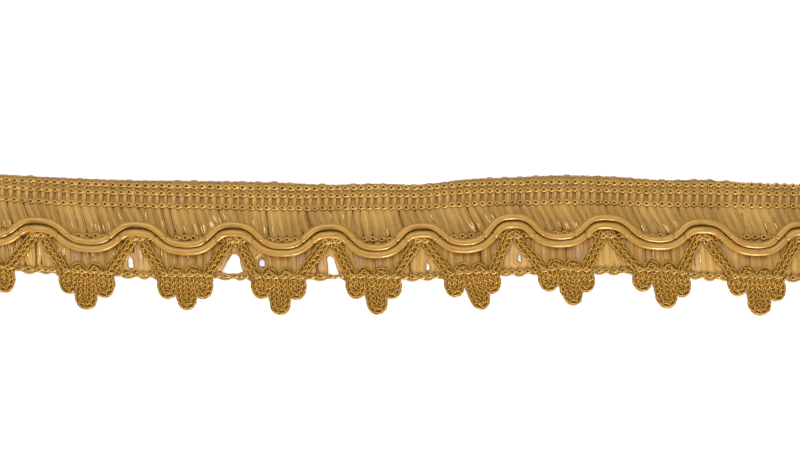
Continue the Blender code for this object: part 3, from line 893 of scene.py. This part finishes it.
def make_bindings():
    """The stitches that bind each cord down at each slope: a part of a slanting circle across it."""
    lines = []
    for offset in (0.0, CORD_SPACING):
        line = cord_line(offset)
        spots = cord_crossings(line)
        run = unit(line[spots + 5] - line[spots - 5])
        across = np.stack([run[:, 1], -run[:, 0]], axis=-1)
        angle = np.radians(np.linspace(-25, 205, 13))
        out = (CORD_RADIUS - 0.05) * np.cos(angle)[None, :, None]
        slant = run[:, None] * 0.25 * np.cos(angle)[None, :, None]
        flat = line[spots][:, None] + across[:, None] * out + slant
        high = cord_height(line)[spots][:, None] - 0.1 + (CORD_RADIUS - 0.05) * np.sin(angle)[None]
        lines.append(np.concatenate([flat, high[..., None]], axis=-1))
    return yarns("cord_bindings", np.concatenate(lines), 0.2, 0.16, 6, stitch_finish)


def arc(middle, radius, start, end, corners):
    """Points round an arc, its angles in degrees from +X."""
    angles = np.radians(np.linspace(start, end, corners))
    return np.asarray(middle) + radius * np.stack([np.cos(angles), np.sin(angles)], axis=-1)


def loop_points(left, right, tip, depth, width):
    """One hanging loop, as the part's source lays it: down one strand, round the tip and up the other."""
    feet = np.array([(left + right) / 2, 0.0])
    bottom = np.array([tip, CHAINETTE_BENT_HALF_WIDTH - depth])
    axis = unit(bottom - feet)
    radius = max(width / 2 - TURNED_HALF_WIDTH, LEAST_TURN)
    middle = bottom - radius * axis
    waist = feet + (middle - feet) * WAIST_SHARE
    aside = WAIST_HALF_WIDTH * np.array([-axis[1], axis[0]])
    lean = np.degrees(np.arctan2(axis[1], axis[0])) + 90
    turn = arc(middle, radius, 180 + lean, 360 + lean, 6)
    return [[left, 0], waist - aside, *turn, waist + aside, [right, 0]]


def chainette_corners():
    """The chainette's route, as the part's source lays it: crest, slope, three loops, slope, crest."""

    def crest(k, start, end):
        """The bend under a crest: a part of a circle."""
        middle = [CRESTS[k], cords_row_y(CRESTS[k]) - CREST_DROP]
        return arc(middle, CREST_RADIUS, start, end, 6)

    route = list(crest(0, 60, -10))
    for k, loops in enumerate(LOOPS):
        tips = [
            (loops.first + SIDE_LOOP_SHIFT, loops.first_depth, SIDE_LOOP_WIDTH),
            (loops.middle, loops.middle_depth, loops.width),
            (loops.last - SIDE_LOOP_SHIFT, loops.last_depth, SIDE_LOOP_WIDTH),
        ]
        group = []
        for j, (tip, depth, width) in enumerate(tips):
            group += loop_points(STRANDS[2 * j], STRANDS[2 * j + 1], tip, depth, width)
            if j < 2:
                turn = [STRANDS[2 * j + 1] + STRAND_PITCH / 2, TURN_RISE]
                group += list(arc(turn, STRAND_PITCH / 2, 180, 0, 4))
        group = np.array(group, float)
        group[:, 0] += loops.foot
        group[:, 1] += lowest_y(group[:, 0])
        turn = crest(k + 1, 190, 120 if k == WAVES - 1 else -10)
        route += [(route[-1] + group[0]) / 2, *group, (group[-1] + turn[0]) / 2, *turn]
    return np.array(route)


def chainette_line():
    """The route as a smooth line, its corners rounded by averaging, and the tube's half width at each
    step. The height goes from the band's to the table's as 3t^2 - 2t^3 below the lowest row."""
    route = chainette_corners()
    length = np.concatenate([[0], np.cumsum(np.linalg.norm(np.diff(route, axis=0), axis=1))])
    even = np.arange(0, length[-1], LINE_STEP)
    line = np.stack([np.interp(even, length, route[:, k]) for k in (0, 1)], axis=-1)
    weights = np.hanning(17)
    weights = weights / weights.sum()
    padded = np.pad(line, ((8, 8), (0, 0)), "edge")
    rounded = np.stack([np.convolve(padded[:, k], weights, "valid") for k in (0, 1)], axis=-1)
    below = lowest_y(rounded[:, 0]) - rounded[:, 1]
    fall = smooth((below - DROP_START) / (DROP_END - DROP_START))
    height = CHAINETTE_ON_BAND + (CHAINETTE_ON_TABLE - CHAINETTE_ON_BAND) * fall
    run = unit(np.gradient(rounded, axis=0))
    bend = np.linalg.norm(np.gradient(run, axis=0), axis=1) / LINE_STEP
    bend = smooth(np.convolve(np.pad(bend, 10, "edge"), np.ones(21) / 21, "valid") * 1.4)
    in_loops = smooth((below + 0.5) / 2)
    half = CHAINETTE_HALF_WIDTH - (CHAINETTE_HALF_WIDTH - CHAINETTE_LOOP_HALF_WIDTH) * in_loops
    half = half + (CHAINETTE_BENT_HALF_WIDTH - half) * bend * (below > 0)
    caught = np.abs(rounded[:, 1] - cords_row_y(rounded[:, 0]))
    near_row = np.exp(-((below / 0.7) ** 2)) + np.exp(-((caught / 0.8) ** 2))
    half = half - (half - CHAINETTE_HELD_HALF_WIDTH) * np.clip(near_row, 0, 1)
    return np.column_stack([rounded, height]), half


def make_chainette():
    """The knitted tube. One yarn goes round and round it in loops, n being the stitch and t = 2 pi n: its
    place round the tube is n + 0.24 sin(2t) - 0.11 sin(t) stitches, along it n / wales - 0.66 cos(t) +
    0.17 cos(t/2) courses, and out from it -0.13 cos(2t) mm. The tube widens and narrows a little along
    its way."""
    line, half = chainette_line()
    run = unit(np.gradient(line, axis=0))
    side = unit(np.cross(run, [0.0, 0.0, 1.0]))
    rise = np.cross(side, run)
    total = (len(line) - 1) * LINE_STEP
    slack = smooth((lowest_y(line[:, 0]) - line[:, 1] + 0.5) / 2)
    course = np.cumsum(LINE_STEP / (COURSE_LENGTH + (LOOSE_COURSE_LENGTH - COURSE_LENGTH) * slack))
    stitches = int(course[-1] - 1) * CHAINETTE_WALES
    per_stitch = 10
    t = 2 * np.pi * np.arange(stitches * per_stitch) / per_stitch
    wale = t / (2 * np.pi) + 0.24 * np.sin(2 * t) - 0.11 * np.sin(t)
    along_tube = t / (2 * np.pi) / CHAINETTE_WALES - 0.66 * np.cos(t) + 0.17 * np.cos(t / 2) + 0.9
    ahead = np.interp(along_tube, course, np.arange(len(line)) * LINE_STEP)
    loose = 1 + 0.1 * np.sin(t * 0.37) + 0.07 * np.sin(t * 0.113 + 1)
    out = -0.13 * np.cos(2 * t)
    where = np.clip(ahead, 0, total - LINE_STEP) / LINE_STEP
    i = where.astype(int)
    f = (where - i)[:, None]

    def at(values):
        """Values of the line at the yarn's own places, straight from step to step."""
        return values[i] * (1 - f) + values[i + 1] * f

    turn = 2 * np.pi * (wale + 0.5) / CHAINETTE_WALES
    wide = at(half[:, None])[:, 0] * loose
    centre, across, above = at(line), unit(at(side)), unit(at(rise))
    normal = np.cos(turn)[:, None] * across / wide[:, None]
    normal = unit(normal + np.sin(turn)[:, None] * above / CHAINETTE_HALF_HEIGHT)
    surface = centre + (np.cos(turn) * wide)[:, None] * across
    surface = surface + (np.sin(turn) * CHAINETTE_HALF_HEIGHT)[:, None] * above
    path = surface + out[:, None] * normal
    thick = KNIT_YARN - (KNIT_YARN - LOOSE_KNIT_YARN) * at(slack[:, None])[:, 0]
    made = []
    middle = (stitches // 2) * per_stitch
    for name, part in (("chainette_left", slice(0, middle + 1)), ("chainette_right", slice(middle, None))):
        knit, yarn, outward = path[None, part], thick[None, part], normal[None, part]
        made.append(yarns(name, knit, yarn, yarn, 4, knit_finish, up=outward, tone=[0.6]))
    # The dark inside, whose colour is painted shade seen through the knit.
    fourth = slice(0, None, 4)
    inside, wide, high = line[None, fourth], half[None, fourth] * 1.14, CHAINETTE_HALF_HEIGHT * 0.62
    core = yarns("chainette_inside", inside, wide, high, 8, core_finish, tone=[0.5])
    return [*made, core]


def make_table():
    """A plain white table top, larger than every view of the trim."""
    made, _, shader = new_finish("white_table_top", 0.7, 0.2)
    shader.inputs["Base Color"].default_value = srgb("F8F8F7")
    reach = 3000.0
    corners = np.array([[-reach, -reach, 0], [reach, -reach, 0], [reach, reach, 0], [-reach, reach, 0]])
    mesh = bpy.data.meshes.new("table_top")
    mesh.from_pydata((corners * MM).tolist(), [], [(0, 1, 2, 3)])
    mesh.materials.append(made)
    add_object("table_top", mesh)


def add_light(name, place, size, power, colour):
    """A square soft light at a place in metres, facing the trim's middle."""
    data = bpy.data.lights.new(name, "AREA")
    data.shape = "SQUARE"
    data.size = size
    data.energy = power
    data.color = colour
    lamp = add_object(name, data)
    lamp.location = place
    lamp.rotation_mode = "QUATERNION"
    lamp.rotation_quaternion = lamp.location.normalized().to_track_quat("Z", "Y")


def make_light():
    """An even white surround, a wide light above and a low one below the picture that draws the gloss."""
    world = bpy.data.worlds.new("studio")
    world.use_nodes = True
    background = world.node_tree.nodes["Background"]
    background.inputs["Color"].default_value = srgb("FFFFFF")
    background.inputs["Strength"].default_value = 0.54
    bpy.context.scene.world = world
    add_light("low_light", (0.2, -1.0, 0.3), 0.25, 19.0, (1.0, 0.97, 0.92))
    add_light("top_light", (-0.15, 0.5, 0.9), 0.9, 11.0, (1.0, 0.99, 0.97))
    bpy.context.scene.view_settings.view_transform = "Standard"


def make_camera():
    """Straight above the trim: the picture's 800 pixels span 213.6 mm at the height of the trim's face."""
    data = bpy.data.cameras.new("camera")
    data.lens = 85.0
    data.sensor_width = 36.0
    picture_width = 213.6 * MM
    face_height = 1.5 * MM
    camera = add_object("camera", data)
    camera.location = (-5.34 * MM, -2.0 * MM, face_height + picture_width * data.lens / data.sensor_width)
    data.clip_start = 0.01
    data.clip_end = 20.0
    bpy.context.scene.camera = camera


make_camera()
make_light()
make_table()
backs = make_backs()
tows, proud = make_tows()
turns = make_turns()
fuzz = make_fuzz()
rows = make_stitches()
cords = make_cords()
bindings = make_bindings()
chainette = make_chainette()

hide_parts("band")
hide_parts("band")
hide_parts("cord_upper")
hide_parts("cord_lower")
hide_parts("chainette")
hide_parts("chainette")
